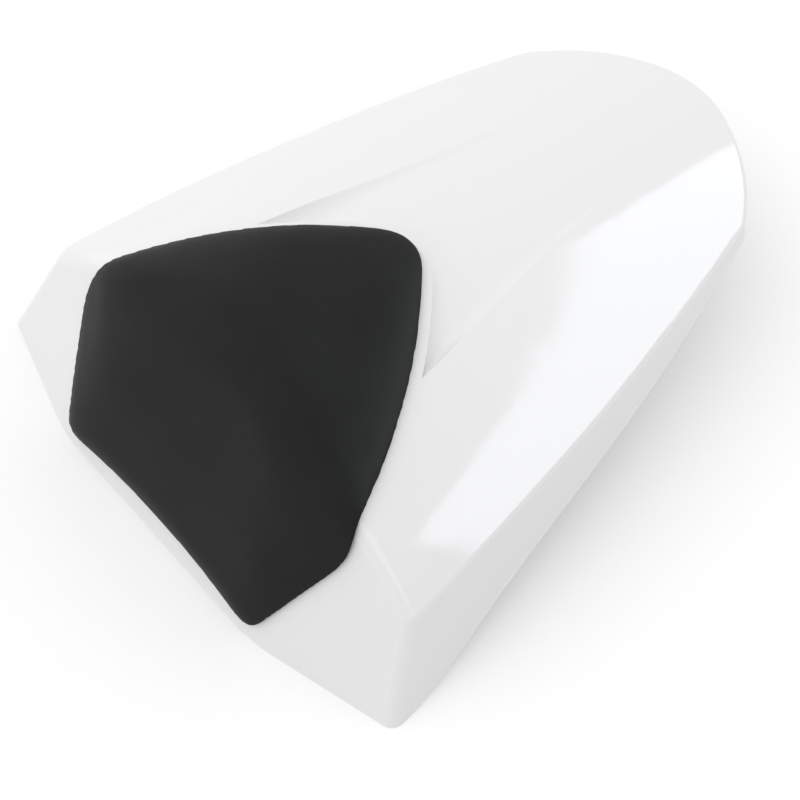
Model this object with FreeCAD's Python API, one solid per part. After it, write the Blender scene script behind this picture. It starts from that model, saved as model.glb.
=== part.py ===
import FreeCAD, Part
import functools
import math
import os
from FreeCAD import Vector as V

os.makedirs("parts", exist_ok=True)

# Rear-seat cowl of a motorcycle: a moulded shell, a soft pad and the hardware under it.
# Millimetres, +Z up. The rider's side is at -Y, the tail at +Y, and X = 0 is the mirror plane.

# Shell, in plan
PLAN_Z = 60.0            # height at which the plan dimensions hold
DRAFT = 12.5             # degrees by which the walls spread downwards
DRAFT_FRONT = 15.5       # the same at the front end of the sides
SIDE_FRONT = (120.7, -121.0)
TAIL_CORNER = (75.0, 119.0)   # where side and tail would meet without rounding
SIDE_BULGE = 5.7         # rise of the side arc over its chord
TAIL_TIP_Y = 165.7
NOSE_R = 59.0            # arc at the tail tip
NOSE_HALF = 20.0         # degrees either side of the tip that this arc spans
TAIL_CORNER_R = 13.0

# Shell, front face
FRONT_Y = -170.0         # front face at the ground
FLAT_HALF = 70.0         # half width of the middle part of the front face
LEAN_MIDDLE = 0.60       # run per unit of height
LEAN_WING = 0.54
SWEEP = 15.5             # degrees by which the wings turn back
BEND_R = 90.0

# Shell, deck
CROWN_R = 210.0          # arc of the deck across the width
RIDGE = [(-210, 84.5), (-160, 87), (-115, 88.4), (-61, 87), (-5, 83),
         (50, 79.2), (95, 75.5), (130, 71.5), (167, 65), (210, 56.5)]

# Shell, lower edge
SKIRT = [(-150, 0), (-135, 1), (-121, 4), (-98, 11.5), (-70, 19.5),
         (0, 31), (72, 42), (120, 51.5), (230, 64)]

# Shell, edges and wall
WALL = 3.0
CORNER_R = 6.5
CREST_R = 11.0
EDGE_R = 3.5
THIN_R = 1.0             # smallest rounding on the inner forms

# Pad
PAD_T = 5.5
PAD_RIM_R = 2.5          # rounding of the pad's rim
PAD_SIDE = (89.0, -128.6)     # two plan points on the rear edge of the pad
PAD_BACK = (18.3, -30.6)
PAD_BULGE = 6.6
PAD_APEX_R = 20.0
PAD_BOTTOM_HALF = 67.8
PAD_BOTTOM_Z = 4.0
PAD_BOTTOM_RISE = 4.5    # the lower edge arches up towards the middle
PAD_FLARE = 0.446        # growth of the half width per unit of height
PAD_LOW_R = 10.0
PAD_SIDE_R = 22.0

# Scoop behind the pad
LIP = 4.2                # strip of deck left between the pad and the scoop
LIP_APEX_R = 34.0
SCOOP_FRONT = (54.0, -61.0)
SCOOP_MIDDLE = (45.5, -3.0)
SCOOP_REAR = (38.5, 72.0)
SCOOP_FLOOR = [(-90, 74.0), (-61, 78), (-40, 80.6), (-18, 81.4), (0, 81.2),
               (30, 79.9), (60, 78.1), (90, 76.8)]
SCOOP_LEVEL = 79.0       # height at which the plan points of its sides hold
SCOOP_SLOPE = 1.0        # run of its side walls per unit of height
SCOOP_ROOT_R = 12.0      # rounding between the side walls and the floor

# Tray under the shell
TRAY_RISE = 3.5          # height of the tray's underside over the shell's lower edge
TRAY_T = 2.5
TRAY_GAP = 0.5           # clearance between the tray and the inside of the shell
CUP_R = 8.0
CUP_T = 5.0
TAB_FROM = -34.0         # side tabs that reach just below the shell's edge
TAB_TO = 2.0
TAB_DROP = 1.0
TAB_T = 3.0

# Screws that hold the tray, from below
SCREW_R = 2.0
SCREW_BITE = 9.0         # length of thread in the boss
HEAD_R = 4.0
HEAD_T = 2.6
BOSS_R = 5.0
HOLE_GAP = 0.3           # radial clearance of a screw in a hole it passes through
TRAY_SCREWS = [(96.0, -104.0), (84.0, -20.0), (50.0, 94.0)]

# Latch striker and its bracket
STRIKER_Y = 62.0
ROD_R = 3.0
ROD_PITCH = 30.0
BRACKET_L = 88.0
BRACKET_W = 36.0
BRACKET_T = 3.0
BRACKET_HOLE_X = 34.0
BRACKET_HOLE_Y = 10.0
SEAT_T = 9.0             # thickness of the tray's flat seats over steel
NUT_AF = 10.0
NUT_T = 5.0
WINDOW_GAP = 2.0         # room round the upper nuts in the tray's seat

# Hook tongues at the front
TONGUE_X = 40.0
TONGUE_Y = -82.0         # middle of the screwed foot
TONGUE_W = 24.0
TONGUE_T = 3.0
TONGUE_FOOT = 30.0
TONGUE_STEP = 8.0        # drop from the foot to the hook
TONGUE_HOOK = 26.0
TONGUE_SCREW = 8.0       # half spacing of the two screws
FOLD_R = 1.5             # inside of each fold

# Rubber bumpers
BUMPER_R = 8.0
BUMPER_T = 7.0
STEM_R = 3.0
BARB_R = 4.2
BUMPER_FRONT = (78.0, -64.0)
BUMPER_REAR = (44.0, 22.0)


def curve_through(points, lift=0.0):
    """Smooth curve in the mirror plane through (y, z) points."""
    curve = Part.BSplineCurve()
    curve.interpolate([V(0, y, z + lift) for y, z in points])
    return curve


def height_at(curve, y):
    """Height of a curve of the mirror plane at a given y."""
    low, high = curve.FirstParameter, curve.LastParameter
    for _ in range(50):
        mid = (low + high) / 2
        if curve.value(mid).y < y:
            low = mid
        else:
            high = mid
    return curve.value(low).z


def circle_through(a, b, c):
    """Centre and radius of the circle through three plan points."""
    d = 2 * (a[0] * (b[1] - c[1]) + b[0] * (c[1] - a[1]) + c[0] * (a[1] - b[1]))
    sa, sb, sc = (p[0] ** 2 + p[1] ** 2 for p in (a, b, c))
    x = (sa * (b[1] - c[1]) + sb * (c[1] - a[1]) + sc * (a[1] - b[1])) / d
    y = (sa * (c[0] - b[0]) + sb * (a[0] - c[0]) + sc * (b[0] - a[0])) / d
    return (x, y), math.hypot(a[0] - x, a[1] - y)


def bulged(a, b, rise):
    """Point halfway along an arc from a to b that rises to the left of the chord."""
    dx, dy = b[0] - a[0], b[1] - a[1]
    run = math.hypot(dx, dy)
    return ((a[0] + b[0]) / 2 + rise * dy / run, (a[1] + b[1]) / 2 - rise * dx / run)


def polar(centre, radius, angle):
    return (centre[0] + radius * math.cos(angle), centre[1] + radius * math.sin(angle))


def rear_crossing(a, r_a, b, r_b):
    """Rearmost point at the given distances from two plan points."""
    dx, dy = b[0] - a[0], b[1] - a[1]
    d = math.hypot(dx, dy)
    along = (r_a ** 2 - r_b ** 2 + d ** 2) / (2 * d)
    off = math.sqrt(r_a ** 2 - along ** 2)
    return (a[0] + (along * dx - off * dy) / d, a[1] + (along * dy + off * dx) / d)


def tail_circle(nose, turn):
    """Circle that leaves the nose arc smoothly at its end and passes through the tail corner."""
    end = polar(nose, NOSE_R, turn)
    dx, dy = end[0] - TAIL_CORNER[0], end[1] - TAIL_CORNER[1]
    radius = (dx ** 2 + dy ** 2) / (2 * (dx * math.cos(turn) + dy * math.sin(turn)))
    return polar(end, -radius, turn), radius


def plan_outline(z, inset):
    """Plan of the walls at height z, moved inwards by the inset."""
    rise = z - PLAN_Z
    skew = inset / math.cos(math.radians(DRAFT))
    e = rise * math.tan(math.radians(DRAFT)) + skew
    front = (SIDE_FRONT[0] - rise * math.tan(math.radians(DRAFT_FRONT)), SIDE_FRONT[1])
    rear = (TAIL_CORNER[0] - rise * math.tan(math.radians(DRAFT)), TAIL_CORNER[1])
    side, r_side = circle_through(front, bulged(front, rear, SIDE_BULGE), rear)
    r_side -= skew
    turn = math.radians(90 - NOSE_HALF)
    nose = (0.0, TAIL_TIP_Y - NOSE_R)
    tail, r_tail = tail_circle(nose, turn)
    r_nose, r_tail, r_corner = NOSE_R - e, r_tail - e, TAIL_CORNER_R - e
    corner = rear_crossing(side, r_side - r_corner, tail, r_tail - r_corner)
    a_side = math.atan2(corner[1] - side[1], corner[0] - side[0])
    a_tail = math.atan2(corner[1] - tail[1], corner[0] - tail[0])
    y_front = FRONT_Y - 70
    front = (side[0] + math.sqrt(r_side ** 2 - (y_front - side[1]) ** 2), y_front)
    a_front = math.atan2(front[1] - side[1], front[0] - side[0])
    half_plan = [
        (front, polar(side, r_side, (a_front + a_side) / 2), polar(side, r_side, a_side)),
        (polar(side, r_side, a_side), polar(corner, r_corner, (a_side + a_tail) / 2),
         polar(corner, r_corner, a_tail)),
        (polar(corner, r_corner, a_tail), polar(tail, r_tail, (a_tail + turn) / 2),
         polar(tail, r_tail, turn)),
    ]
    right = [curve_piece(p, z, 1) for p in half_plan]
    left = [curve_piece(p, z, -1) for p in reversed(half_plan)]
    end = half_plan[-1][2]
    tip = Part.Arc(V(end[0], end[1], z), V(0, nose[1] + r_nose, z), V(-end[0], end[1], z)).toShape()
    close = Part.makeLine(V(-front[0], front[1], z), V(front[0], front[1], z))
    return Part.Wire(right + [tip] + left + [close])


def curve_piece(piece, z, side):
    """One arc or line of an outline, on the right (side 1) or mirrored to the left (side -1)."""
    a, m, b = piece
    if side < 0:
        a, b = b, a
    start, end = V(side * a[0], a[1], z), V(side * b[0], b[1], z)
    if m is None:
        return Part.makeLine(start, end)
    return Part.Arc(start, V(side * m[0], m[1], z), end).toShape()


def walls(inset):
    return Part.makeLoft([plan_outline(-30, inset), plan_outline(110, inset)], True, True)


def front_outline(z, inset):
    """Plan of the front at height z: a straight middle, two bends and two wings that sweep back."""
    far, behind = 190.0, 260.0
    y_mid = FRONT_Y + LEAN_MIDDLE * z + inset * math.hypot(1, LEAN_MIDDLE)
    y_far = FRONT_Y + LEAN_WING * z + (far - FLAT_HALF) * math.tan(math.radians(SWEEP))
    y_far += inset * math.hypot(1, LEAN_WING) / math.cos(math.radians(SWEEP))
    turn = math.atan2(y_far - y_mid, far - FLAT_HALF)
    radius = BEND_R - inset
    start = (FLAT_HALF - radius * math.tan(turn / 2), y_mid)
    centre = (start[0], y_mid + radius)
    middle, end = (polar(centre, radius, part * turn - math.pi / 2) for part in (0.5, 1))
    half = [(start, middle, end), (end, None, (far, y_far)), ((far, y_far), None, (far, behind))]
    right = [curve_piece(p, z, 1) for p in half]
    left = [curve_piece(p, z, -1) for p in reversed(half)]
    back = Part.makeLine(V(far, behind, z), V(-far, behind, z))
    face = Part.makeLine(V(-start[0], y_mid, z), V(start[0], y_mid, z))
    return Part.Wire(right + [back] + left + [face])


def front_block(inset):
    """Everything behind the leaning front face."""
    return Part.makeLoft([front_outline(-30, inset), front_outline(110, inset)], True, True)


def crowned(points, inset, floor_z, reach=165.0):
    """Solid between a crowned surface over the given ridge and a level at floor_z."""
    ridge = curve_through(points, -inset)
    radius = CROWN_R - inset
    drop = radius - math.sqrt(radius ** 2 - reach ** 2)
    first, last = points[0][0], points[-1][0]
    count = max(6, int((last - first) / 28))
    sections = []
    for i in range(count + 1):
        y = first + (last - first) * i / count
        z = height_at(ridge, y)
        a, b = V(-reach, y, z - drop), V(reach, y, z - drop)
        crown = Part.Arc(a, V(0, y, z), b).toShape()
        c, d = V(reach, y, floor_z), V(-reach, y, floor_z)
        sections.append(Part.Wire([crown, Part.makeLine(b, c), Part.makeLine(c, d), Part.makeLine(d, a)]))
    return Part.makeLoft(sections, True, False)


def blank(inset):
    """Full outer form of the cowl, moved inwards by the inset, before its edges are rounded."""
    return walls(inset).common(front_block(inset)).common(crowned(RIDGE, inset, -40))


def is_front_corner(edge):
    box = edge.BoundBox
    return box.ZLength > 50 and box.YLength < 60 and box.YMax < -90 and abs(box.Center.x) > 115


def is_crest(edge):
    box = edge.BoundBox
    return box.ZMin > 40 and box.YMax < -100 and box.XLength > 10


def is_deck_edge(edge):
    box = edge.BoundBox
    return box.ZMin > 40 and box.YMax > -100


def fillet_each(shape, chosen):
    """Round edges with a radius for each kind; chosen is a list of (test, radius)."""
    doc = FreeCAD.newDocument("rounding")
    base = doc.addObject("Part::Feature", "base")
    base.Shape = shape
    rounding = doc.addObject("Part::Fillet", "rounding")
    rounding.Base = base
    edges = []
    for number, edge in enumerate(shape.Edges, 1):
        for test, radius in chosen:
            if test(edge):
                edges.append((number, radius, radius))
                break
    rounding.Edges = edges
    doc.recompute()
    result = rounding.Shape.copy()
    FreeCAD.closeDocument(doc.Name)
    return result


@functools.lru_cache(maxsize=None)
def form(inset):
    """Rounded outer form of the cowl, moved inwards by the inset."""
    return fillet_each(blank(inset), [
        (is_front_corner, max(CORNER_R - inset, THIN_R)),
        (is_crest, max(CREST_R - inset, THIN_R)),
        (is_deck_edge, max(EDGE_R - inset, THIN_R)),
    ])


def lobe(offset, apex_r):
    """Upright prism over the V-shaped rear of the pad, moved outwards by the offset."""
    centre, radius = circle_through(PAD_SIDE, bulged(PAD_SIDE, PAD_BACK, PAD_BULGE), PAD_BACK)
    radius += offset
    reach = radius - apex_r
    tip_y = centre[1] + math.sqrt(reach ** 2 - centre[0] ** 2)
    meet = math.atan2(tip_y - centre[1], -centre[0])
    low = math.atan2(PAD_SIDE[1] - centre[1], PAD_SIDE[0] - centre[0]) - 0.25
    a, m, b = (polar(centre, radius, angle) for angle in (low, (low + meet) / 2, meet))
    tip = (0.0, tip_y + apex_r)
    front_y = FRONT_Y - 60
    z = -20

    def point(p, side=1):
        return V(side * p[0], p[1], z)
    right = Part.Arc(point(a), point(m), point(b)).toShape()
    apex = Part.Arc(point(b), point(tip), point(b, -1)).toShape()
    left = Part.Arc(point(b, -1), point(m, -1), point(a, -1)).toShape()
    corners = [point(a, -1), V(-a[0] - 30, front_y, z), V(a[0] + 30, front_y, z), point(a)]
    rest = [Part.makeLine(p, q) for p, q in zip(corners, corners[1:])]
    return Part.Face(Part.Wire([right, apex, left] + rest)).extrude(V(0, 0, 200))


def scoop_plan(z, depth):
    """Plan of the scoop's side walls at height z, moved outwards by the depth."""
    spread = depth * math.hypot(1, SCOOP_SLOPE) + (z - SCOOP_LEVEL) * SCOOP_SLOPE
    front, middle, rear = ((x + spread, y) for x, y in (SCOOP_FRONT, SCOOP_MIDDLE, SCOOP_REAR))
    start = (front[0] + 30 * (front[0] - middle[0]) / (middle[1] - front[1]), front[1] - 30)
    end = (rear[0] - 15 * (middle[0] - rear[0]) / (rear[1] - middle[1]), rear[1] + 15)
    half = [(start, None, front), (front, middle, rear), (rear, None, end)]
    right = [curve_piece(p, z, 1) for p in half]
    left = [curve_piece(p, z, -1) for p in reversed(half)]
    back = Part.makeLine(V(end[0], end[1], z), V(-end[0], end[1], z))
    close = Part.makeLine(V(-start[0], start[1], z), V(start[0], start[1], z))
    return Part.Wire(right + [back] + left + [close])


def is_scoop_root(edge):
    """True for the edges along which the scoop's side walls meet its floor."""
    box = edge.BoundBox
    return box.YLength > 8 and box.ZMax < 84 and box.XMin * box.XMax > 0 and box.YLength > 2 * box.XLength


def scoop(depth):
    """Space cut out of the deck behind the pad; the depth sinks its floor and widens its sides."""
    low, high = SCOOP_LEVEL - 20, SCOOP_LEVEL + 31
    space = Part.makeLoft([scoop_plan(low, depth), scoop_plan(high, depth)], True, True)
    space = space.cut(crowned(SCOOP_FLOOR, depth, 0, 90.0))
    roots = [e for e in space.Edges if is_scoop_root(e)]
    return space.makeFillet(SCOOP_ROOT_R + depth, roots).cut(lobe(LIP - depth, LIP_APEX_R - depth))


@functools.lru_cache(maxsize=None)
def body(inset):
    """Outer form with the scoop, moved inwards by the inset."""
    return form(inset).cut(scoop(inset))


def skirt_z(y):
    return height_at(curve_through(SKIRT), y)


def under_edge(lift):
    """Everything below the shell's lower edge line raised by the lift."""
    line = curve_through(SKIRT, lift)
    first, last = line.value(line.FirstParameter), line.value(line.LastParameter)
    front = V(0, -260, first.z)
    loop = [Part.makeLine(front, first), line.toShape(), Part.makeLine(last, V(0, last.y, -80)),
            Part.makeLine(V(0, last.y, -80), V(0, -260, -80)), Part.makeLine(V(0, -260, -80), front)]
    face = Part.Face(Part.Wire(loop))
    face.translate(V(-200, 0, 0))
    return face.extrude(V(400, 0, 0))


def rod(x, y, z, radius, height):
    return Part.makeCylinder(radius, height, V(x, y, z))


def mirrored(points):
    """Plan points on the right, and the same on the left."""
    return [(side * x, y) for x, y in points for side in (1, -1)]


def tray_screw_points():
    return mirrored(TRAY_SCREWS)


def bracket_screw_points():
    return mirrored([(BRACKET_HOLE_X, STRIKER_Y + shift) for shift in (-BRACKET_HOLE_Y, BRACKET_HOLE_Y)])


def tongue_screw_points():
    return mirrored([(TONGUE_X, TONGUE_Y - TONGUE_SCREW), (TONGUE_X, TONGUE_Y + TONGUE_SCREW)])


def cup_z(y):
    """Underside of a flat seat on the tray: at the lowest point of the tray over the seat."""
    return skirt_z(y - CUP_R) + TRAY_RISE


def bracket_seat_z():
    return skirt_z(STRIKER_Y - BRACKET_W / 2) + TRAY_RISE


def tongue_seat_z():
    return skirt_z(TONGUE_Y - TONGUE_FOOT / 2) + TRAY_RISE


def screw_seats():
    """Every screw that enters a boss of the shell: plan point, underside of its head seat, grip."""
    seats = [(x, y, cup_z(y), CUP_T) for x, y in tray_screw_points()]
    seats += [(x, y, bracket_seat_z() - BRACKET_T, BRACKET_T + SEAT_T) for x, y in bracket_screw_points()]
    seats += [(x, y, tongue_seat_z() - TONGUE_T, TONGUE_T + SEAT_T) for x, y in tongue_screw_points()]
    return seats


def cowl_shell(inner):
    """Moulded shell: outer form less the inner form, open below, with a boss for every screw."""
    seats = screw_seats()
    bosses = Part.makeCompound([rod(x, y, z + grip, BOSS_R, 120) for x, y, z, grip in seats])
    holes = [rod(x, y, z + grip - 1, SCREW_R, SCREW_BITE + 2.5) for x, y, z, grip in seats]
    shell = body(0).cut(inner).fuse(bosses.common(body(WALL / 2)).Solids)
    return shell.cut(holes + [under_edge(0)])


def pad_window():
    """Prism square to the front face that bounds the pad's lower edge and its sides."""
    lean = math.atan(LEAN_MIDDLE)
    behind = 160.0
    along = V(0, math.sin(lean), math.cos(lean))
    normal = V(0, -math.cos(lean), math.sin(lean))

    def on_face(x, z):
        return V(x, FRONT_Y, 0) + along * (z / math.cos(lean)) - normal * behind
    half, low, top = PAD_BOTTOM_HALF, PAD_BOTTOM_Z, PAD_BOTTOM_Z + 70
    wide = half + PAD_FLARE * (top - low)
    corners = [on_face(x, z) for x, z in
               ((half, low), (wide, top), (wide, top + 150), (-wide, top + 150), (-wide, top), (-half, low))]
    sides = [Part.makeLine(p, q) for p, q in zip(corners, corners[1:])]
    arch = Part.Arc(corners[-1], on_face(0, low + PAD_BOTTOM_RISE), corners[0]).toShape()
    prism = Part.Face(Part.Wire(sides + [arch])).extrude(normal * (behind + 120))
    feet = [e for e in prism.Edges if e.Length > behind + 100
            and abs((e.Vertexes[0].Point - V(0, FRONT_Y, 0)).dot(along) - low / math.cos(lean)) < 0.1]
    return prism.makeFillet(PAD_LOW_R, feet)


def lies_on(edge, shape):
    """True where the middle of an edge is on the skin of a solid."""
    first, last = edge.ParameterRange
    middle = Part.Vertex(edge.valueAt((first + last) / 2))
    return min(middle.distToShape(face)[0] for face in shape.Faces) < 0.01


def backrest_pad():
    """Soft pad glued over the front face, the crest and the front of the deck."""
    space = lobe(0, PAD_APEX_R).common(pad_window())
    corners = [e for e in space.Edges if e.Length > 100 and e.BoundBox.YMin > FRONT_Y
               and abs(e.BoundBox.Center.x) > 70]
    space = space.makeFillet(PAD_SIDE_R, corners)
    skin = form(-PAD_T)
    cover = skin.common(space)
    rim = [e for e in cover.Edges if lies_on(e, skin) and lies_on(e, space)]
    return cover.makeFillet(PAD_RIM_R, rim).cut(form(0))


def seat_block(x, y, z, length, width, height):
    return Part.makeBox(length, width, height, V(x - length / 2, y - width / 2, z))


def base_tray(inner):
    """Moulded tray that closes the underside a little above the shell's lower edge."""
    room = body(WALL + TRAY_GAP)
    plate = under_edge(TRAY_RISE + TRAY_T).cut(under_edge(TRAY_RISE))
    bumpers = mirrored([BUMPER_FRONT, BUMPER_REAR])
    seats = [seat_block(0, STRIKER_Y, bracket_seat_z(), BRACKET_L, BRACKET_W, SEAT_T)]
    seats += [seat_block(side * TONGUE_X, TONGUE_Y, tongue_seat_z(), TONGUE_W, TONGUE_FOOT, SEAT_T)
              for side in (1, -1)]
    seats += [rod(x, y, cup_z(y), CUP_R, CUP_T) for x, y in tray_screw_points()]
    seats += [rod(x, y, cup_z(y), CUP_R + 1, CUP_T) for x, y in bumpers]
    plate = plate.fuse(seats + side_tabs().Solids).common(room)
    window = (ROD_PITCH + NUT_AF * 1.2 + 2 * WINDOW_GAP, NUT_AF * 1.2 + 2 * WINDOW_GAP)
    holes = [seat_block(0, STRIKER_Y, bracket_seat_z() - 1, window[0], window[1], SEAT_T + 20)]
    for x, y, z, grip in screw_seats():
        holes.append(rod(x, y, z - 1, SCREW_R + HOLE_GAP, grip + 2))
        holes.append(rod(x, y, z + grip, BOSS_R + HOLE_GAP, 40))
    for x, y in bumpers:
        holes.append(rod(x, y, cup_z(y) - 1, STEM_R, CUP_T + 2))
        holes.append(rod(x, y, cup_z(y) + CUP_T, BARB_R + HOLE_GAP, 40))
    return plate.cut(holes)


def side_tabs():
    """Upright edges along the tray's sides that show just below the shell."""
    low = under_edge(TRAY_RISE + TRAY_T).cut(under_edge(-TAB_DROP))
    length = TAB_TO - TAB_FROM
    strip = seat_block(0, (TAB_FROM + TAB_TO) / 2, -20, 400, length, 120)
    ring = walls(WALL + TRAY_GAP).cut(walls(WALL + TRAY_GAP + TAB_T))
    return low.common(strip).common(ring)


def pan_screw(x, y, z, length):
    """Pan-head screw, head below, shank going up from z."""
    head = rod(x, y, z - HEAD_T, HEAD_R, HEAD_T)
    head = head.makeFillet(HEAD_T * 0.6, [e for e in head.Edges if e.BoundBox.ZMax < z - HEAD_T + 0.01])
    drive = seat_block(x, y, z - HEAD_T - 1, HEAD_R, HEAD_R * 0.28, 1 + HEAD_T * 0.55)
    cross = seat_block(x, y, z - HEAD_T - 1, HEAD_R * 0.28, HEAD_R, 1 + HEAD_T * 0.55)
    return head.cut(drive).cut(cross).fuse(rod(x, y, z, SCREW_R, length))


def screws_at(points):
    """The screws at the given plan points, each with its head on its own seat."""
    chosen = [seat for seat in screw_seats() if seat[:2] in points]
    return Part.makeCompound([pan_screw(x, y, z, grip + SCREW_BITE) for x, y, z, grip in chosen])


def striker_bracket():
    """Stamped plate with rounded corners that spreads the latch load over the tray."""
    z = bracket_seat_z() - BRACKET_T
    plate = seat_block(0, STRIKER_Y, z, BRACKET_L, BRACKET_W, BRACKET_T)
    plate = plate.makeFillet(6, [e for e in plate.Edges if abs(e.Length - BRACKET_T) < 0.01])
    for x, y in bracket_screw_points():
        plate = plate.cut(rod(x, y, z - 1, SCREW_R + HOLE_GAP, BRACKET_T + 2))
    for side in (1, -1):
        plate = plate.cut(rod(side * ROD_PITCH / 2, STRIKER_Y, z - 1, ROD_R, BRACKET_T + 2))
    return plate


def rod_top():
    return bracket_seat_z() + NUT_T + 3


def latch_striker():
    """Round bar bent into a U; the latch closes round its lower run."""
    x, y, bend = ROD_PITCH / 2, STRIKER_Y, ROD_R * 2.5
    low = ROD_R
    path = Part.Wire([
        Part.makeLine(V(x, y, rod_top()), V(x, y, low + bend)),
        Part.Arc(V(x, y, low + bend), V(x - bend + bend * math.cos(math.pi / 4), y,
                 low + bend - bend * math.sin(math.pi / 4)), V(x - bend, y, low)).toShape(),
        Part.makeLine(V(x - bend, y, low), V(bend - x, y, low)),
        Part.Arc(V(bend - x, y, low), V(bend - x - bend * math.sin(math.pi / 4), y,
                 low + bend - bend * math.cos(math.pi / 4)), V(-x, y, low + bend)).toShape(),
        Part.makeLine(V(-x, y, low + bend), V(-x, y, rod_top())),
    ])
    section = Part.Wire(Part.makeCircle(ROD_R, V(x, y, rod_top()), V(0, 0, 1)))
    return path.makePipeShell([section], True, False)


def hex_nut(x, y, z):
    corners = [V(x, y, z) + V(*polar((0, 0), NUT_AF / math.sqrt(3), math.radians(30 + 60 * i)), 0)
               for i in range(7)]
    nut = Part.Face(Part.makePolygon(corners)).extrude(V(0, 0, NUT_T))
    return nut.cut(rod(x, y, z - 1, ROD_R, NUT_T + 2))


def striker_nuts():
    """Nuts above and below the bracket on both legs of the striker."""
    z = bracket_seat_z()
    nuts = []
    for side in (1, -1):
        nuts.append(hex_nut(side * ROD_PITCH / 2, STRIKER_Y, z))
        nuts.append(hex_nut(side * ROD_PITCH / 2, STRIKER_Y, z - BRACKET_T - NUT_T))
    return Part.makeCompound(nuts)


def cross_edges(shape, points, length):
    """Edges of one length whose middle lies at one of the given (y, z) points."""
    return [e for e in shape.Edges if abs(e.Length - length) < 0.01
            and any(math.hypot(e.BoundBox.Center.y - y, e.BoundBox.Center.z - z) < 0.01 for y, z in points)]


def front_tongue(side):
    """Folded steel hook: a screwed foot, a step down and a tongue that points to the tail."""
    x = side * TONGUE_X
    top = tongue_seat_z()
    low = top - TONGUE_STEP
    t = TONGUE_T
    y0, y1 = TONGUE_Y - TONGUE_FOOT / 2, TONGUE_Y + TONGUE_FOOT / 2
    profile = [(y0, top), (y1, top), (y1, low), (y1 + TONGUE_HOOK, low), (y1 + TONGUE_HOOK, low - t),
               (y1 - t, low - t), (y1 - t, top - t), (y0, top - t)]
    corners = [V(x - TONGUE_W / 2, y, z) for y, z in profile]
    hook = Part.Face(Part.makePolygon(corners + [corners[0]])).extrude(V(TONGUE_W, 0, 0))
    hook = hook.makeFillet(FOLD_R, cross_edges(hook, [(y1, low), (y1 - t, top - t)], TONGUE_W))
    hook = hook.makeFillet(FOLD_R + t, cross_edges(hook, [(y1, top), (y1 - t, low - t)], TONGUE_W))
    end = y1 + TONGUE_HOOK - 0.01
    tips = [e for e in hook.Edges if e.BoundBox.YMin > end and e.BoundBox.ZLength > t - 0.01]
    hook = hook.makeFillet(TONGUE_W / 4, tips)
    for px, py in tongue_screw_points():
        if px * side > 0:
            hook = hook.cut(rod(px, py, top - t - 1, SCREW_R + HOLE_GAP, t + 2))
    return hook


def rubber_bumper(point, side):
    """Domed rubber stop with a stem pressed up through the tray."""
    x, y = side * point[0], point[1]
    z = cup_z(y)
    head = rod(x, y, z - BUMPER_T, BUMPER_R, BUMPER_T)
    head = head.makeFillet(2, [e for e in head.Edges if e.BoundBox.ZMax < z - BUMPER_T + 0.01])
    stem = rod(x, y, z, STEM_R, CUP_T + 4)
    barb = Part.makeCone(BARB_R, STEM_R - 0.5, 3.5, V(x, y, z + CUP_T))
    return head.fuse(stem).fuse(barb)


def make_parts():
    inner = body(WALL)
    return {
        "cowl_shell": cowl_shell(inner),
        "backrest_pad": backrest_pad(),
        "base_tray": base_tray(inner),
        "tray_screws": screws_at(tray_screw_points()),
        "striker_bracket": striker_bracket(),
        "bracket_screws": screws_at(bracket_screw_points()),
        "latch_striker": latch_striker(),
        "striker_nuts": striker_nuts(),
        "front_tongue_right": front_tongue(1),
        "front_tongue_left": front_tongue(-1),
        "tongue_screws": screws_at(tongue_screw_points()),
        "bumper_front_right": rubber_bumper(BUMPER_FRONT, 1),
        "bumper_front_left": rubber_bumper(BUMPER_FRONT, -1),
        "bumper_rear_right": rubber_bumper(BUMPER_REAR, 1),
        "bumper_rear_left": rubber_bumper(BUMPER_REAR, -1),
    }


def centred(parts):
    """Move the whole set so that its box stands centred on the origin."""
    box = Part.makeCompound(list(parts.values())).optimalBoundingBox(False, False)
    shift = V(0, -(box.YMin + box.YMax) / 2, -box.ZMin)
    for shape in parts.values():
        shape.translate(shift)
    print("moved along Y by", round(shift.y, 3), "and along Z by", round(shift.z, 3))
    return parts


for node, shape in centred(make_parts()).items():
    box = shape.optimalBoundingBox(False, False)
    print(node, "solids", len(shape.Solids), "valid", shape.isValid(),
          "box", [round(v, 1) for v in (box.XMin, box.XMax, box.YMin, box.YMax, box.ZMin, box.ZMax)])
    shape.exportStep("parts/" + node + ".step")
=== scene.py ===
# %% [markdown]
# The part is the cover that closes the pillion's place behind the rider of a motorcycle: a thin
# white shell with a black pad on its front, and a black tray underneath that carries two hooks, a
# striker loop and four rubber feet. The construction file already holds every rigid piece at its
# true size. This lesson gives them their surfaces, makes the soft pad, and lights a photograph.

# %% Load the frame
import math

import bmesh
import bpy
from mathutils import Matrix, Vector, noise
from mathutils.bvhtree import BVHTree


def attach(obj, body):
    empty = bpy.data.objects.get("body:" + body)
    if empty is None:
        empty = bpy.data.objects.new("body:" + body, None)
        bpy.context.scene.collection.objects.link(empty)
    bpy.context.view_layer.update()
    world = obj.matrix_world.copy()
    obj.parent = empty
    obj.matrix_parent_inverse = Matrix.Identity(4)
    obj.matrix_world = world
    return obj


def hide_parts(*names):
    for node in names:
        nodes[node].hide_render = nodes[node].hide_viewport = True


MM = 0.001

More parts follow.
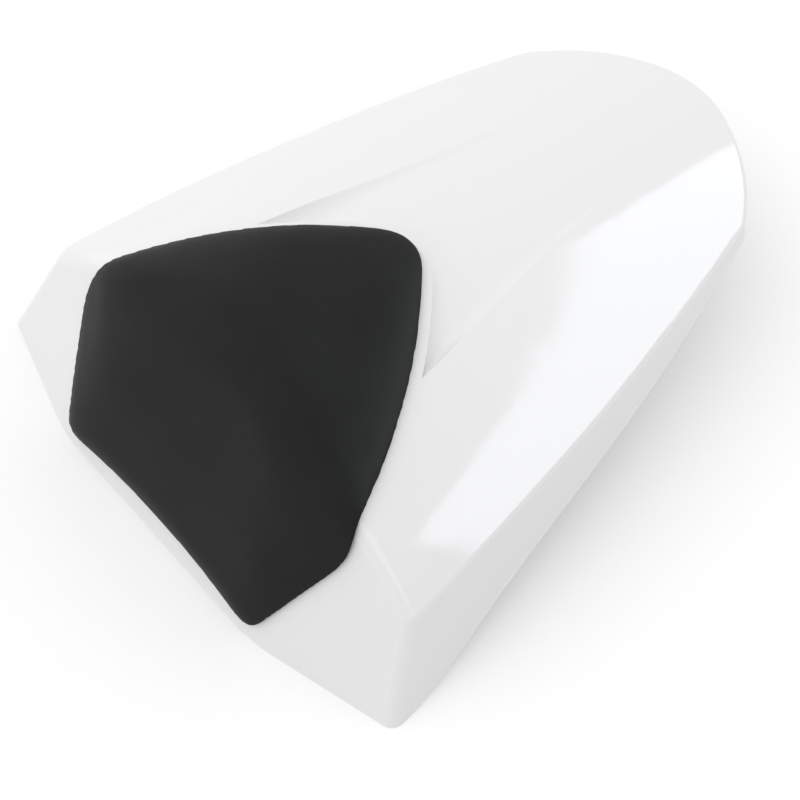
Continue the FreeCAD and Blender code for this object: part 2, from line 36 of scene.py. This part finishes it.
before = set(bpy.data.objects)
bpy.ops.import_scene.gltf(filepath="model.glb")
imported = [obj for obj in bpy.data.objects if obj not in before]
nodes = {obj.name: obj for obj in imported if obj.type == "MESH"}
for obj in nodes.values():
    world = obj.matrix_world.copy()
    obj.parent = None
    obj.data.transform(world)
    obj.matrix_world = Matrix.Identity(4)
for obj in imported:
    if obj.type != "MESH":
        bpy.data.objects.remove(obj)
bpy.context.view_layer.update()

# %% [markdown]
# A camera comes first, because every later step is judged through it. The photograph looks down on
# the front right corner from about an arm's length. A longer lens from further off would flatten
# the tail, and a shorter one would swell the near corner, so the place was worked out from edges
# whose real position is known.

# %% Camera
CAMERA_PLACE = Vector((334.9, -329.1, 615.2)) * MM
CAMERA_AZIMUTH = 47.51
CAMERA_ELEVATION = 54.89
CAMERA_ROLL = 1.9
SENSOR_MM = 36
LENS_MM = 72


def camera_turn(azimuth, elevation, roll):
    """Turn of a camera that stands at this azimuth and elevation and looks at the part."""
    a, e, r = (math.radians(v) for v in (azimuth, elevation, roll))
    back = Vector((math.sin(a) * math.cos(e), -math.cos(a) * math.cos(e), math.sin(e)))
    level = Vector((math.cos(a), math.sin(a), 0))
    raised = back.cross(level)
    right = level * math.cos(r) + raised * math.sin(r)
    up = raised * math.cos(r) - level * math.sin(r)
    return Matrix((right, up, back)).transposed().to_euler()


lens = bpy.data.cameras.new("photo_camera")
lens.sensor_width = SENSOR_MM
lens.lens = LENS_MM
camera = bpy.data.objects.new("photo_camera", lens)
camera.location = CAMERA_PLACE
camera.rotation_euler = camera_turn(CAMERA_AZIMUTH, CAMERA_ELEVATION, CAMERA_ROLL)
bpy.context.scene.collection.objects.link(camera)
bpy.context.scene.camera = camera
print("camera", [round(v, 3) for v in camera.location])

# %% [markdown]
# Materials are small networks of nodes. Two helpers keep them readable: one turns a colour as a
# picker shows it into the linear values that the renderer works with, and one adds a node with its
# settings and its links in a single line.

# %% Helpers for materials
def linear(code):
    """Linear colour, with alpha 1, of an sRGB hex code such as "ebebec"."""
    parts = [int(code[i:i + 2], 16) / 255 for i in (0, 2, 4)]
    return [v / 12.92 if v <= 0.04045 else ((v + 0.055) / 1.055) ** 2.4 for v in parts] + [1.0]


def add(tree, kind, settings=None, links=None):
    """Adds a node, sets its sockets or properties by name and links sources to its sockets."""
    made = tree.nodes.new("ShaderNode" + kind)
    for name, value in (settings or {}).items():
        if isinstance(name, int) or name in made.inputs:
            made.inputs[name].default_value = value
        else:
            setattr(made, name, value)
    for name, source in (links or {}).items():
        tree.links.new(source, made.inputs[name])
    return made


def new_material(name):
    """An empty material and its node tree."""
    made = bpy.data.materials.new(name)
    made.use_nodes = True
    made.node_tree.nodes.clear()
    return made, made.node_tree


def per_size(size_mm):
    """Texture scale at which one cell of a noise or Voronoi pattern is about this many mm wide."""
    return 1 / (size_mm * MM)


print("white plastic is", [round(v, 3) for v in linear("ebebec")])

# %% [markdown]
# The shell is ABS, injection moulded and lacquered. Lacquer is nearly a mirror over a white body,
# so most of what the eye reads as shape is the reflection of the studio. The film flows out before
# it dries and keeps a faint ripple, the orange peel, a few thousandths of a millimetre high. A bump
# this small does nothing to the colour, and only softens the edges of reflections.

# %% Lacquered ABS
PEEL_MM = 2.6
PEEL_HEIGHT_MM = 0.0035
HAZE_MM = 45

lacquered_abs, tree = new_material("Lacquered white ABS")
place = add(tree, "TexCoord").outputs["Object"]
peel = add(tree, "TexNoise", {"Scale": per_size(PEEL_MM), "Detail": 2.0}, {"Vector": place})
relief = add(tree, "Bump", {"Strength": 1.0, "Distance": PEEL_HEIGHT_MM * MM},
             {"Height": peel.outputs["Fac"]})
haze = add(tree, "TexNoise", {"Scale": per_size(HAZE_MM), "Detail": 3.0}, {"Vector": place})
polish = add(tree, "MapRange", {"To Min": 0.07, "To Max": 0.11}, {"Value": haze.outputs["Fac"]})
shader = add(tree, "BsdfPrincipled", {"Base Color": linear("ebebec"), "IOR": 1.5},
             {"Roughness": polish.outputs["Result"], "Normal": relief.outputs["Normal"]})
add(tree, "OutputMaterial", links={"Surface": shader.outputs["BSDF"]})
print(lacquered_abs.name, len(tree.nodes), "nodes")

# %% [markdown]
# The tray is black ABS straight from a mould whose steel was spark eroded. Its grain is about half
# a millimetre and matt. Its colour is painted lighter on the tips of the grain and darker in the
# pits, as painted shade.

# %% Textured black ABS
ERODED_MM = 0.5
ERODED_DEPTH_MM = 0.03

eroded_abs, tree = new_material("Spark eroded black ABS")
place = add(tree, "TexCoord").outputs["Object"]
pits_and_painted_shade = add(tree, "TexNoise", {"Scale": per_size(ERODED_MM), "Detail": 3.0}, {"Vector": place})
relief = add(tree, "Bump", {"Strength": 1.0, "Distance": ERODED_DEPTH_MM * MM},
             {"Height": pits_and_painted_shade.outputs["Fac"]})
# Painted shade: this ramp makes the pits of the grain darker and its tips lighter, following the
# bump.
tone = add(tree, "ValToRGB", links={"Fac": pits_and_painted_shade.outputs["Fac"]})
tone.color_ramp.elements[0].color = linear("161718")
tone.color_ramp.elements[0].position = 0.35
tone.color_ramp.elements[1].color = linear("242526")
tone.color_ramp.elements[1].position = 0.65
shader = add(tree, "BsdfPrincipled", {"Roughness": 0.62, "IOR": 1.52},
             {"Base Color": tone.outputs["Color"], "Normal": relief.outputs["Normal"]})
add(tree, "OutputMaterial", links={"Surface": shader.outputs["BSDF"]})
print(eroded_abs.name, len(tree.nodes), "nodes")

# %% [markdown]
# The brackets and hooks are pressed steel, dipped and coated by current. The film is thin, satin
# and even, with a slight waviness where the primer dried, and no metal shows through it.

# %% Coated steel
COAT_WAVE_MM = 1.4
COAT_HEIGHT_MM = 0.008

coated_steel, tree = new_material("Electrocoated pressed steel")
place = add(tree, "TexCoord").outputs["Object"]
waves = add(tree, "TexNoise", {"Scale": per_size(COAT_WAVE_MM), "Detail": 4.0}, {"Vector": place})
relief = add(tree, "Bump", {"Strength": 1.0, "Distance": COAT_HEIGHT_MM * MM},
             {"Height": waves.outputs["Fac"]})
satin = add(tree, "MapRange", {"To Min": 0.32, "To Max": 0.46}, {"Value": waves.outputs["Fac"]})
shader = add(tree, "BsdfPrincipled", {"Base Color": linear("1b1c1e"), "IOR": 1.52},
             {"Roughness": satin.outputs["Result"], "Normal": relief.outputs["Normal"]})
add(tree, "OutputMaterial", links={"Surface": shader.outputs["BSDF"]})
print(coated_steel.name, len(tree.nodes), "nodes")

# %% [markdown]
# Screws, nuts and the striker loop are steel plated with zinc and passivated clear. The layer is
# grey with a trace of blue, and it is cloudy in patches of a millimetre or two where the crystals
# grew unevenly, so its roughness changes from place to place more than its colour does.

# %% Zinc plated steel
CLOUD_MM = 1.8

zinc_steel, tree = new_material("Zinc plated steel")
place = add(tree, "TexCoord").outputs["Object"]
clouds = add(tree, "TexNoise", {"Scale": per_size(CLOUD_MM), "Detail": 5.0}, {"Vector": place})
tone = add(tree, "ValToRGB", links={"Fac": clouds.outputs["Fac"]})
tone.color_ramp.elements[0].color = linear("a9adb2")
tone.color_ramp.elements[0].position = 0.3
tone.color_ramp.elements[1].color = linear("ccd0d4")
tone.color_ramp.elements[1].position = 0.7
cloudy = add(tree, "MapRange", {"To Min": 0.24, "To Max": 0.42}, {"Value": clouds.outputs["Fac"]})
shader = add(tree, "BsdfPrincipled", {"Metallic": 1.0},
             {"Base Color": tone.outputs["Color"], "Roughness": cloudy.outputs["Result"]})
add(tree, "OutputMaterial", links={"Surface": shader.outputs["BSDF"]})
print(zinc_steel.name, len(tree.nodes), "nodes")

# %% [markdown]
# The feet are EPDM rubber, moulded. It is the dullest black on the part, with a greyish bloom.

# %% Moulded rubber
BLOOM_MM = 3.0

moulded_rubber, tree = new_material("Moulded EPDM rubber")
place = add(tree, "TexCoord").outputs["Object"]
bloom = add(tree, "TexNoise", {"Scale": per_size(BLOOM_MM), "Detail": 4.0}, {"Vector": place})
tone = add(tree, "ValToRGB", links={"Fac": bloom.outputs["Fac"]})
tone.color_ramp.elements[0].color = linear("141414")
tone.color_ramp.elements[0].position = 0.4
tone.color_ramp.elements[1].color = linear("232322")
tone.color_ramp.elements[1].position = 0.75
shader = add(tree, "BsdfPrincipled", {"Roughness": 0.78, "IOR": 1.5},
             {"Base Color": tone.outputs["Color"]})
add(tree, "OutputMaterial", links={"Surface": shader.outputs["BSDF"]})
print(moulded_rubber.name, len(tree.nodes), "nodes")

# %% [markdown]
# The pad's skin is PVC coated fabric, rolled warm under an engraved cylinder that leaves a fine
# leather grain. Its grains are flat islands with narrow valleys between them, which is what the
# distance to the edge of a Voronoi cell draws. The real grain is about half a millimetre across,
# too fine to show from the camera, so it is drawn at nearly a millimetre, and it is shallow. A matt
# top coat takes most of the shine away, so the specular level is well under that of bare PVC.

# %% Grained vinyl
GRAIN_MM = 0.9
GRAIN_DEPTH_MM = 0.02
VALLEY_SHARE = 0.22
BEND_SIZE_MM = 2.5
BEND_MM = 0.6
SHEEN_PATCH_MM = 28

grained_vinyl, tree = new_material("Grained PVC coated fabric")
place = add(tree, "TexCoord").outputs["Object"]
bent = add(tree, "TexNoise", {"Scale": per_size(BEND_SIZE_MM), "Detail": 2.0},
           {"Vector": place})
moved = add(tree, "VectorMath", {"operation": "MULTIPLY_ADD", 1: [BEND_MM * MM] * 3},
            {0: bent.outputs["Color"], 2: place})
grain = add(tree, "TexVoronoi", {"feature": "DISTANCE_TO_EDGE", "Scale": per_size(GRAIN_MM)},
            {"Vector": moved.outputs["Vector"]})
island = add(tree, "MapRange", {"From Max": VALLEY_SHARE, "interpolation_type": "SMOOTHSTEP"},
             {"Value": grain.outputs["Distance"]})
relief = add(tree, "Bump", {"Strength": 0.6, "Distance": GRAIN_DEPTH_MM * MM},
             {"Height": island.outputs["Result"]})
patch = add(tree, "TexNoise", {"Scale": per_size(SHEEN_PATCH_MM), "Detail": 3.0}, {"Vector": place})
handled = add(tree, "MapRange", {"To Min": 0.44, "To Max": 0.54}, {"Value": patch.outputs["Fac"]})
tone = add(tree, "ValToRGB", links={"Fac": patch.outputs["Fac"]})
tone.color_ramp.elements[0].color = linear("0d0f0e")
tone.color_ramp.elements[0].position = 0.3
tone.color_ramp.elements[1].color = linear("131514")
tone.color_ramp.elements[1].position = 0.7
shader = add(tree, "BsdfPrincipled", {"IOR": 1.48, "Specular IOR Level": 0.2},
             {"Base Color": tone.outputs["Color"], "Roughness": handled.outputs["Result"],
              "Normal": relief.outputs["Normal"]})
add(tree, "OutputMaterial", links={"Surface": shader.outputs["BSDF"]})
print(grained_vinyl.name, len(tree.nodes), "nodes")

# %% [markdown]
# Each rigid piece keeps the mesh that the construction file gave it and only changes its finish.

# %% Finish of the rigid pieces
FINISHES = {
    "cowl_shell": lacquered_abs,
    "base_tray": eroded_abs,
    "striker_bracket": coated_steel,
    "front_tongue": coated_steel,
    "latch_striker": zinc_steel,
    "striker_nuts": zinc_steel,
    "tray_screws": zinc_steel,
    "bracket_screws": zinc_steel,
    "tongue_screws": zinc_steel,
    "bumper": moulded_rubber,
}


def finish_of(name):
    """The finish whose key starts the piece's name."""
    for key, finish in FINISHES.items():
        if name.startswith(key):
            return finish
    return grained_vinyl


for name, piece in sorted(nodes.items()):
    for holder in piece.material_slots:
        holder.material = finish_of(name)
    print(name, "-", finish_of(name).name)

# %% [markdown]
# The pad is a sheet of foam a few millimetres thick under a stretched skin. It can't be made from a
# block, because its back has to lie on the curved shell. So it starts as a copy of the pad's solid,
# which fits the shell, and a voxel remesh gives it an even net of small faces that bends well
# everywhere. The faces are smaller than the rounding of the rim, so the rim survives.

# %% Pad blank
VOXEL_MM = 1.3
WELD_MM = 0.01


def applied(piece):
    """Replaces a piece's mesh by the one that its modifiers make, and removes them."""
    bpy.context.view_layer.update()
    seen = piece.evaluated_get(bpy.context.evaluated_depsgraph_get())
    mesh = bpy.data.meshes.new_from_object(seen)
    piece.modifiers.clear()
    piece.data = mesh
    return piece


def blank_from(node, name):
    """A new piece whose mesh is a node's, with its loose triangles joined at their corners."""
    mesh = nodes[node].data.copy()
    net = bmesh.new()
    net.from_mesh(mesh)
    bmesh.ops.remove_doubles(net, verts=net.verts, dist=WELD_MM * MM)
    net.to_mesh(mesh)
    net.free()
    piece = bpy.data.objects.new(name, mesh)
    bpy.context.scene.collection.objects.link(piece)
    return piece


pad = blank_from("backrest_pad", "backrest_cushion")
remesh = pad.modifiers.new("even net", "REMESH")
remesh.mode = "VOXEL"
remesh.voxel_size = VOXEL_MM * MM
applied(pad)
print("pad blank:", len(pad.data.vertices), "points")

# %% [markdown]
# Where the pad touches the shell it is glued, and everywhere else its skin is free to swell over
# the foam. A tree of the shell's faces tells how far each point of the net is from the shell. A
# vertex group holds the near ones, and lets go over the next millimetre. The free skin is first
# pressed down by a millimetre, because the swelling will lift it again.

# %% Glued points of the pad
GLUE_REACH_MM = 2.6
PRESSED_MM = 1.0

shell_faces = BVHTree.FromPolygons([v.co for v in nodes["cowl_shell"].data.vertices],
                                   [p.vertices for p in nodes["cowl_shell"].data.polygons])


def above_shell(point):
    """Distance of a point from the shell."""
    return shell_faces.find_nearest(point)[3]


def eased(t):
    """0 below 0, 1 above 1, and a smooth step between them."""
    t = min(1.0, max(0.0, t))
    return t * t * (3 - 2 * t)


held = pad.vertex_groups.new(name="glued")
for vertex in pad.data.vertices:
    near, _, _, gap = shell_faces.find_nearest(vertex.co)
    share = min(1.0, max(0.0, gap / MM - GLUE_REACH_MM))
    held.add([vertex.index], 1 - share, "REPLACE")
    vertex.co += (near - vertex.co).normalized() * share * PRESSED_MM * MM
print("points:", len(pad.data.vertices))

# %% [markdown]
# Cloth under a little pressure gives the skin the crown of a filled pad. The foam isn't the same
# everywhere: it is fullest at both ends of the crest, where a back would lean on it, less full in
# the middle, and flat at the foot and at the rear end. So each point gets its own limit to how far
# it may move. The mass of a point and the stiffness of the cloth suit faces a millimetre wide.
# Gravity is off, since the foam carries the skin.

# %% Swell of the pad
FULL_MM = 3.2
FLAT_MM = 0.6
CREST_Y_MM = -116
DECK_RUN_MM = 55
FOOT_Z_MM = 8
FOOT_RUN_MM = 40
MIDDLE_SHARE = 0.35
MIDDLE_HALF_MM = 10
MIDDLE_RUN_MM = 45
SWELL_FRAMES = 12
PRESSURE = 6.0
POINT_MASS = 0.0005
STIFFNESS = 5


def swell_limit(point):
    """How far the skin may rise at this point."""
    x, y, z = point / MM
    over_foot = eased((z - FOOT_Z_MM) / FOOT_RUN_MM)
    before_deck = 1 - eased((y - CREST_Y_MM) / DECK_RUN_MM)
    off_middle = eased((abs(x) - MIDDLE_HALF_MM) / MIDDLE_RUN_MM)
    off_middle = MIDDLE_SHARE + (1 - MIDDLE_SHARE) * off_middle
    return (FLAT_MM + (FULL_MM - FLAT_MM) * over_foot * before_deck * off_middle) * MM


def swell(piece, pressure):
    """Runs cloth under pressure on a piece and keeps the result, with each point's way limited."""
    before = [v.co.copy() for v in piece.data.vertices]
    cloth = piece.modifiers.new("skin", "CLOTH")
    cloth.settings.use_pressure = True
    cloth.settings.uniform_pressure_force = pressure
    cloth.settings.quality = 4
    cloth.settings.mass = POINT_MASS
    cloth.settings.tension_stiffness = STIFFNESS
    cloth.settings.compression_stiffness = STIFFNESS
    cloth.settings.shear_stiffness = STIFFNESS / 2
    cloth.settings.bending_stiffness = 0.05
    cloth.settings.vertex_group_mass = "glued"
    cloth.settings.effector_weights.gravity = 0
    cloth.point_cache.frame_start = 1
    cloth.point_cache.frame_end = SWELL_FRAMES
    for count in range(1, SWELL_FRAMES + 1):
        bpy.context.scene.frame_set(count)
    applied(piece)
    bpy.context.scene.frame_set(1)
    for vertex, old in zip(piece.data.vertices, before):
        way, limit = vertex.co - old, swell_limit(old)
        if way.length > limit:
            vertex.co = old + way.normalized() * limit
    return max((v.co - old).length for v, old in zip(piece.data.vertices, before))


print("pad swells by up to mm:", round(swell(pad, PRESSURE) / MM, 2))

# %% [markdown]
# Skin pulled round foam by hand is never quite even. A little smoothing first takes out the steps
# of the voxels, also on the wall of the rim. More of it on the free skin takes out the small
# wrinkles that the cloth left. Then a slow noise moves the free skin by a few tenths of a
# millimetre.

# %% Hand of the upholsterer
UNEVEN_MM = 0.35
UNEVEN_WAVE_MM = 34
NET_ROUNDS = 10
SKIN_ROUNDS = 40


def free_skin(net):
    """The points of a net that the glue doesn't reach."""
    return [v for v in net.verts if above_shell(v.co) > GLUE_REACH_MM * MM]


def smooth(net, points, rounds):
    """Moves points half way to the middle of their neighbours, a number of times."""
    for _ in range(rounds):
        bmesh.ops.smooth_vert(net, verts=points, factor=0.5,
                              use_axis_x=True, use_axis_y=True, use_axis_z=True)


net = bmesh.new()
net.from_mesh(pad.data)
smooth(net, net.verts, NET_ROUNDS)
smooth(net, free_skin(net), SKIN_ROUNDS)
net.normal_update()
free = free_skin(net)
for v in free:
    v.co += v.normal * noise.noise(v.co / (UNEVEN_WAVE_MM * MM)) * UNEVEN_MM * MM
for face in net.faces:
    face.smooth = True
net.to_mesh(pad.data)
net.free()
print("free points:", len(free))

# %% [markdown]
# The finished pad gets its vinyl. It rides on the part's only body and takes the place of the plain
# solid, which is hidden.

# %% Pad finished
pad.data.materials.clear()
pad.data.materials.append(grained_vinyl)
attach(pad, "root")
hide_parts("backrest_pad")
print("pad faces:", len(pad.data.polygons))

# %% [markdown]
# The floor is white paper, a little translucent and lit from below as well, which is how product
# photographers get a white ground with a pale shadow. So about seven tenths of its white answer
# to the light above, and what the camera and mirrors see of it gets the rest as its own light.

# %% Floor
FLOOR_HALF = 6.0
FLOOR_GLOW = 0.30

floor_paper, tree = new_material("Matt white studio paper")
matt = add(tree, "BsdfDiffuse", {"Color": linear("dcdcdc")})
path = add(tree, "LightPath")
seen = add(tree, "Math", {"operation": "MAXIMUM"},
           {0: path.outputs["Is Camera Ray"], 1: path.outputs["Is Glossy Ray"]})
seen = add(tree, "Math", {"operation": "MAXIMUM"},
           {0: seen.outputs["Value"], 1: path.outputs["Is Transmission Ray"]})
share = add(tree, "Math", {"operation": "MULTIPLY", 1: FLOOR_GLOW}, {0: seen.outputs["Value"]})
glow = add(tree, "Emission", {"Color": (1, 1, 1, 1)}, {"Strength": share.outputs["Value"]})
both = add(tree, "AddShader", links={0: matt.outputs["BSDF"], 1: glow.outputs["Emission"]})
add(tree, "OutputMaterial", links={"Surface": both.outputs["Shader"]})

net = bmesh.new()
bmesh.ops.create_grid(net, x_segments=1, y_segments=1, size=FLOOR_HALF)
table = bpy.data.meshes.new("studio_floor")
net.to_mesh(table)
net.free()
floor = bpy.data.objects.new("studio_floor", table)
floor.data.materials.append(floor_paper)
bpy.context.scene.collection.objects.link(floor)
print("floor", FLOOR_HALF * 2, "m wide")

# %% [markdown]
# A white product on white is lit from all round, so that only the soft contact shadow and small
# steps of grey draw its shape. The world is that light. It is brighter towards the front left, and
# darker towards the right, where a photographer stands and the tent is open. The camera itself sees
# the world as plain white.

# %% World
TENT_LIGHT = 0.905
BRIGHT_SIDE = (-50, 0.44)
DARK_SIDE = (80, -0.17)

sky = bpy.data.worlds.new("White tent")
bpy.context.scene.world = sky
sky.use_nodes = True
tree = sky.node_tree
tree.nodes.clear()


def level_direction(azimuth):
    """Level direction at an azimuth that is 0 along -Y and 90 along +X."""
    a = math.radians(azimuth)
    return Vector((math.sin(a), -math.cos(a), 0))


def side_light(azimuth, share):
    """Light to add to the tent's own on the side that this azimuth names."""
    towards = add(tree, "VectorMath", {"operation": "DOT_PRODUCT", 1: level_direction(azimuth)},
                  {0: outward.outputs["Generated"]})
    lobe = add(tree, "MapRange", {"From Min": 0.1, "From Max": 0.9, "To Max": share,
                                  "interpolation_type": "SMOOTHSTEP"},
               {"Value": towards.outputs["Value"]})
    return lobe.outputs["Result"]


outward = add(tree, "TexCoord")
both = add(tree, "Math", {"operation": "ADD"},
           {0: side_light(*BRIGHT_SIDE), 1: side_light(*DARK_SIDE)})
light = add(tree, "Math", {"operation": "ADD", 1: TENT_LIGHT}, {0: both.outputs["Value"]})
path = add(tree, "LightPath")
level = add(tree, "MapRange", {"To Max": 1.0},
            {"Value": path.outputs["Is Camera Ray"], "To Min": light.outputs["Value"]})
white = add(tree, "Background", {"Color": (1, 1, 1, 1)}, {"Strength": level.outputs["Result"]})
add(tree, "OutputWorld", links={"Surface": white.outputs["Background"]})
print("world ready")

# %% [markdown]
# A weak lamp above the tail makes the deck a little brighter than the walls. It is more than a
# metre wide, so its shadow has no hard edge, and the lacquer doesn't mirror it.

# %% Lamp above the tail
LAMP_POWER = 4.5
LAMP_SIZE = 1.4
LAMP_AZIMUTH = 150
LAMP_AWAY = 1.2
LAMP_HEIGHT = 1.6

lamp = bpy.data.lights.new("tail_lamp", "AREA")
lamp.shape = "SQUARE"
lamp.size = LAMP_SIZE
lamp.energy = LAMP_POWER
tail_lamp = bpy.data.objects.new("tail_lamp", lamp)
tail_lamp.location = level_direction(LAMP_AZIMUTH) * LAMP_AWAY + Vector((0, 0, LAMP_HEIGHT))
tail_lamp.rotation_euler = (-tail_lamp.location).to_track_quat("-Z", "Y").to_euler()
tail_lamp.visible_glossy = False
bpy.context.scene.collection.objects.link(tail_lamp)
print("lamp", LAMP_POWER, "W")

# %% [markdown]
# Lacquer shows the studio. One panel behind the tail is what the long pale reflection on the deck
# shows, and the bend of its top edge gives that reflection's far border its bend. Two smaller
# panels, above the front right and the front left, give the pad its sheen. They stay weak, because
# the shell's crest mirrors them as thin streaks. Panels light nothing else: they are seen by glossy
# rays alone, so the colours stay as written. Their right ends fade, as the cloth of a softbox does.

# %% Softboxes
PANELS = {
    "tail_softbox": {
        "azimuth": 165, "distance": 1.5, "low": 0.9, "strength": 4.0, "fade_share": 0.1,
        "columns": [(-0.62, 2.05), (0.45, 1.94), (1.75, 2.6)]},
    "front_softbox": {
        "azimuth": 28, "distance": 1.4, "low": 1.0, "strength": 1.8, "fade_share": 0.4,
        "columns": [(-0.6, 2.2), (0.5, 2.2)]},
    "crest_softbox": {
        "azimuth": -62, "distance": 1.2, "low": 1.2, "strength": 1.8, "fade_share": 0.4,
        "columns": [(-0.35, 2.1), (0.35, 2.1)]},
}

lit_cloth, tree = new_material("Lit softbox cloth")
flat = add(tree, "SeparateXYZ", links={"Vector": add(tree, "UVMap").outputs["UV"]})
fade = add(tree, "MapRange", {"interpolation_type": "SMOOTHSTEP"}, {"Value": flat.outputs["X"]})
power = add(tree, "Math", {"operation": "MULTIPLY"},
            {0: fade.outputs["Result"], 1: flat.outputs["Y"]})
glow = add(tree, "Emission", {"Color": linear("f8fbff")}, {"Strength": power.outputs["Value"]})
add(tree, "OutputMaterial", links={"Surface": glow.outputs["Emission"]})


def softbox(name, azimuth, distance, low, columns, strength, fade_share):
    """A panel for reflections: columns of (place across, top). Its UV holds fade and strength."""
    away, across = level_direction(azimuth), level_direction(azimuth - 90)
    first, last = columns[0][0], columns[-1][0]
    net = bmesh.new()
    bmesh.ops.create_grid(net, x_segments=len(columns) - 1, y_segments=1, size=1)
    sheet = net.loops.layers.uv.new("UVMap")
    for vert in net.verts:
        x, top = columns[round((vert.co.x + 1) / 2 * (len(columns) - 1))]
        for loop in vert.link_loops:
            loop[sheet].uv = ((last - x) / (last - first) / fade_share, strength)
        vert.co = away * distance + across * x + Vector((0, 0, top if vert.co.y > 0 else low))
    mesh = bpy.data.meshes.new(name)
    net.to_mesh(mesh)
    net.free()
    panel = bpy.data.objects.new(name, mesh)
    bpy.context.scene.collection.objects.link(panel)
    panel.data.materials.append(lit_cloth)
    panel.visible_camera = False
    panel.visible_diffuse = False
    panel.visible_shadow = False
    panel.visible_transmission = False


for name, values in PANELS.items():
    softbox(name, **values)
print("softboxes:", len(PANELS))

# %% [markdown]
# The colours are shown as they are, with the plain view transform.

# %% View
bpy.context.scene.view_settings.view_transform = "Standard"
